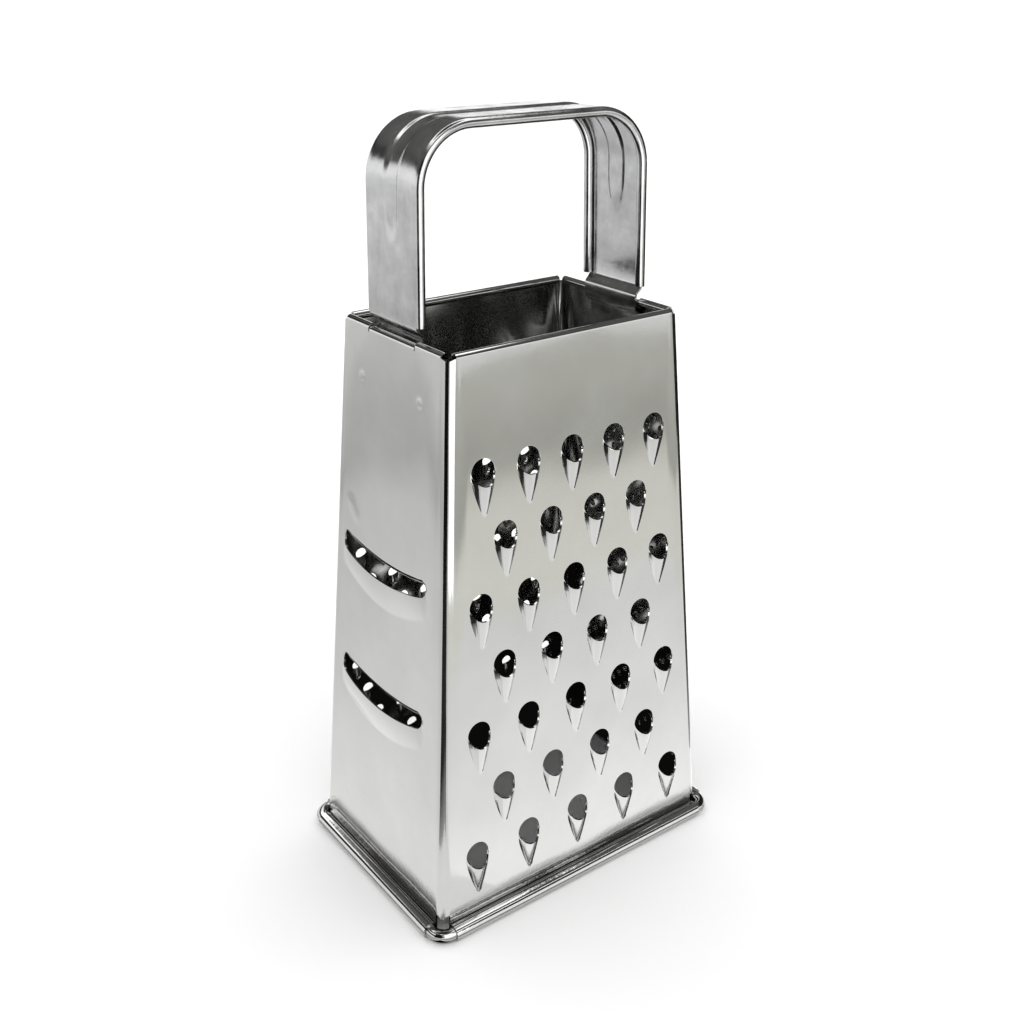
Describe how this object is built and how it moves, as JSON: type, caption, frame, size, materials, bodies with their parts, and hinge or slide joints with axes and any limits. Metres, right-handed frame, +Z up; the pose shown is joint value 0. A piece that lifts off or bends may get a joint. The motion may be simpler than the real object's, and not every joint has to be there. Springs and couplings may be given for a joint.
{
  "type": "box grater",
  "caption": "Four sided stainless steel box grater with a wired bottom edge and a strap handle over its open top.",
  "frame": {"origin": "centre of the footprint, on the surface that the grater stands on", "axes": "+Z up the body, +X along the wide faces towards the rasp face, -Y out of the coarse face"},
  "size_m": [0.1104, 0.0778, 0.229],
  "materials": {
    "sheet_steel": "polished",
    "wire_steel": "bright drawn",
    "strap_steel": "polished, lightly scuffed"
  },
  "bodies": {
    "root": {"coarse_wall": "sheet_steel", "fine_wall": "sheet_steel", "rasp_wall": "sheet_steel", "slicer_wall": "sheet_steel", "base_wire": "wire_steel", "handle": "strap_steel"}
  },
  "joints": []
}
